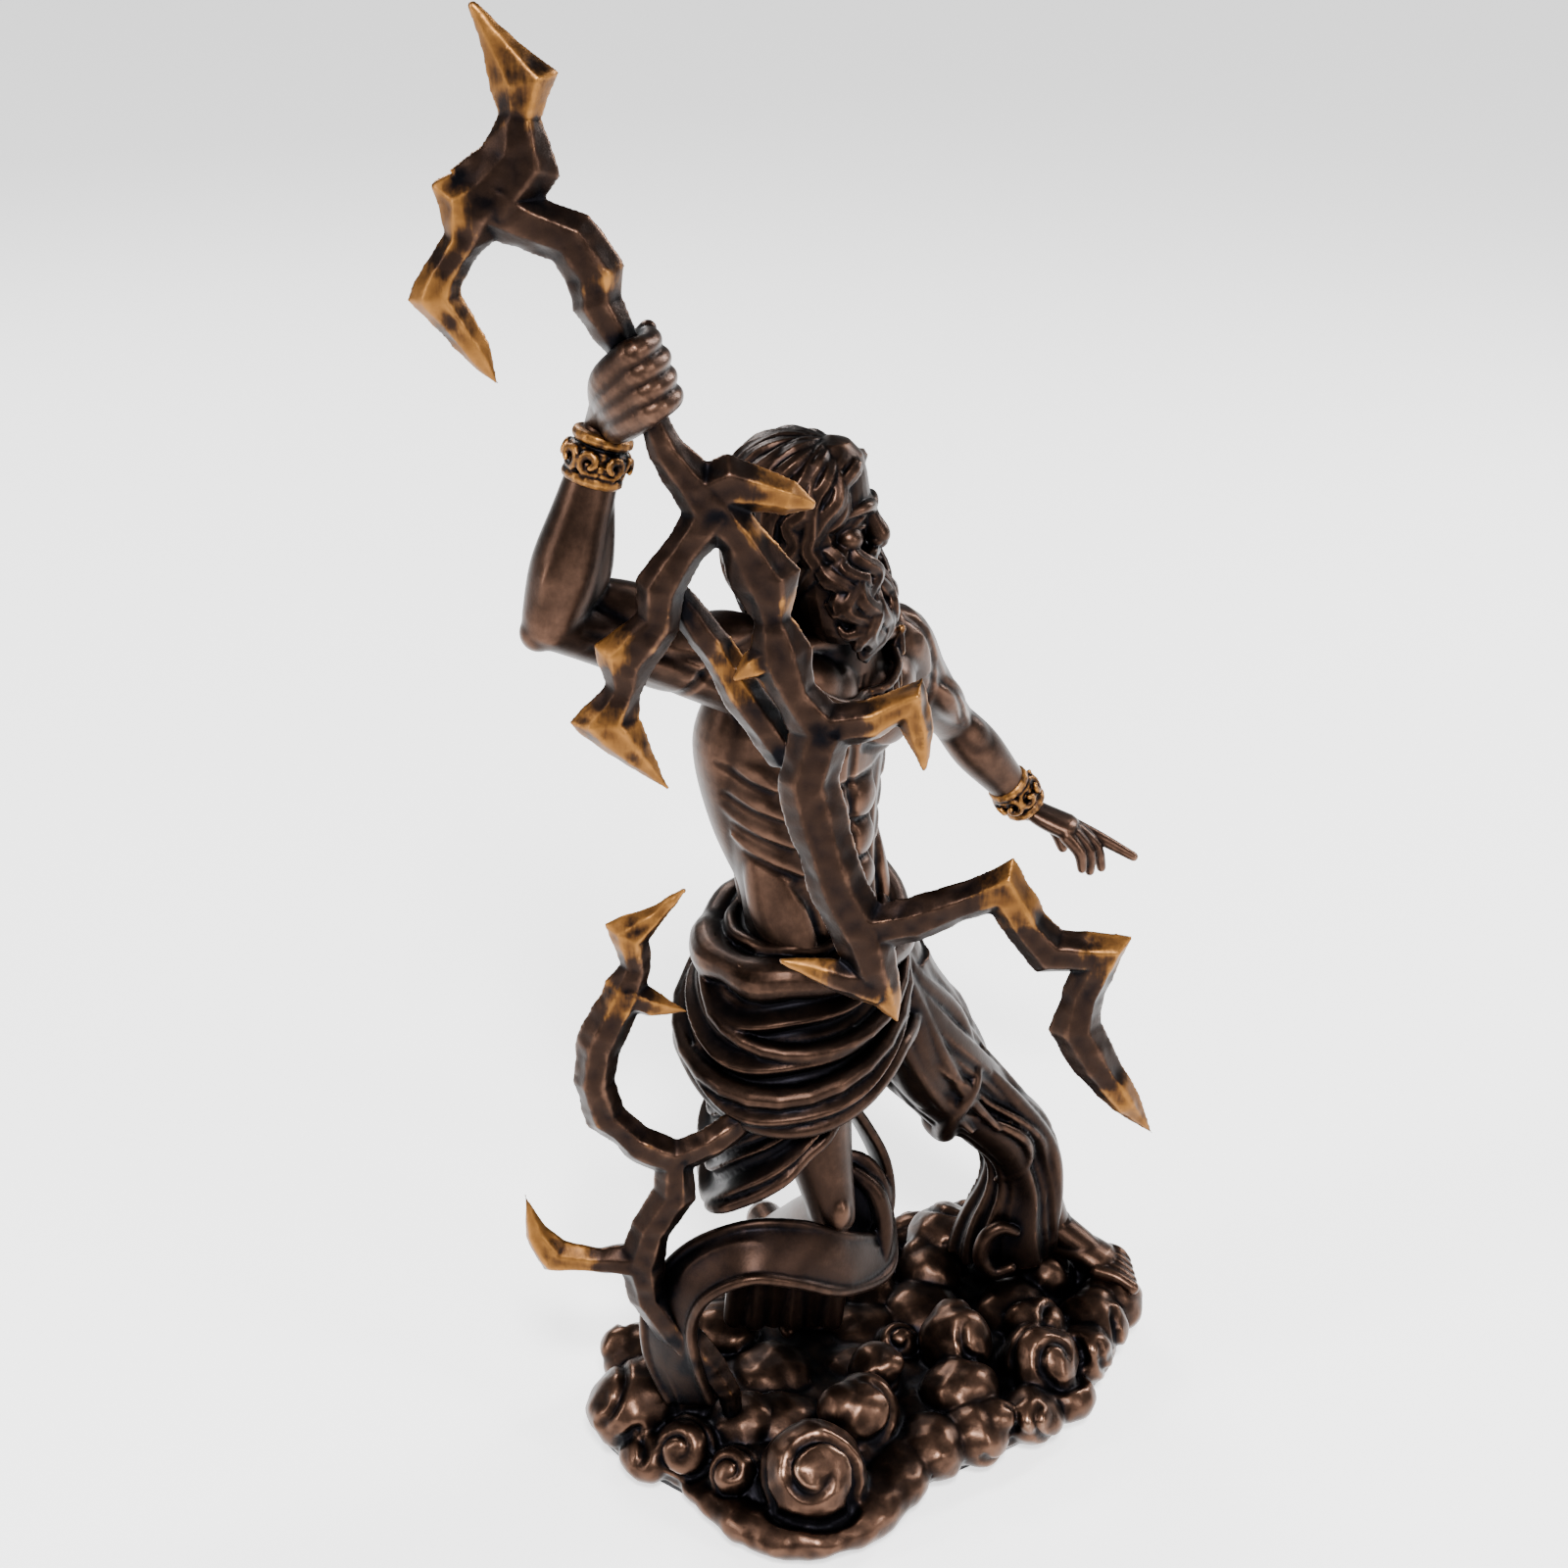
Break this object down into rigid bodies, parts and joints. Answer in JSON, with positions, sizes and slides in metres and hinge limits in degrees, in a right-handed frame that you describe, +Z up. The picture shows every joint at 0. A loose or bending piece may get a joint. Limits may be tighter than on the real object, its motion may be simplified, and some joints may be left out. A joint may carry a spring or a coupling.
{
  "type": "zeus statue",
  "caption": "Bronze-finish figurine of Zeus striding on swirling clouds, cloak round his hips, hurling a branching thunderbolt from his raised right fist.",
  "frame": {"origin": "middle of the flat underside of the pad", "axes": "+Z up; the statue looks along -Y, its chest and head turned toward +X; +X is its left, the way it strides and points, along the longer side of the clouds"},
  "size_m": [0.1687, 0.1069, 0.3103],
  "materials": {
    "cold_cast_bronze": "dark antique bronze with rubbed copper highlights",
    "gilded_bronze": "antique bronze brushed with old gold",
    "black_felt": "matt"
  },
  "bodies": {
    "root": {"zeus_on_clouds": "cold_cast_bronze", "thunderbolt": "gilded_bronze", "cloud_lightning": "gilded_bronze", "base_pad": "black_felt"}
  },
  "joints": []
}
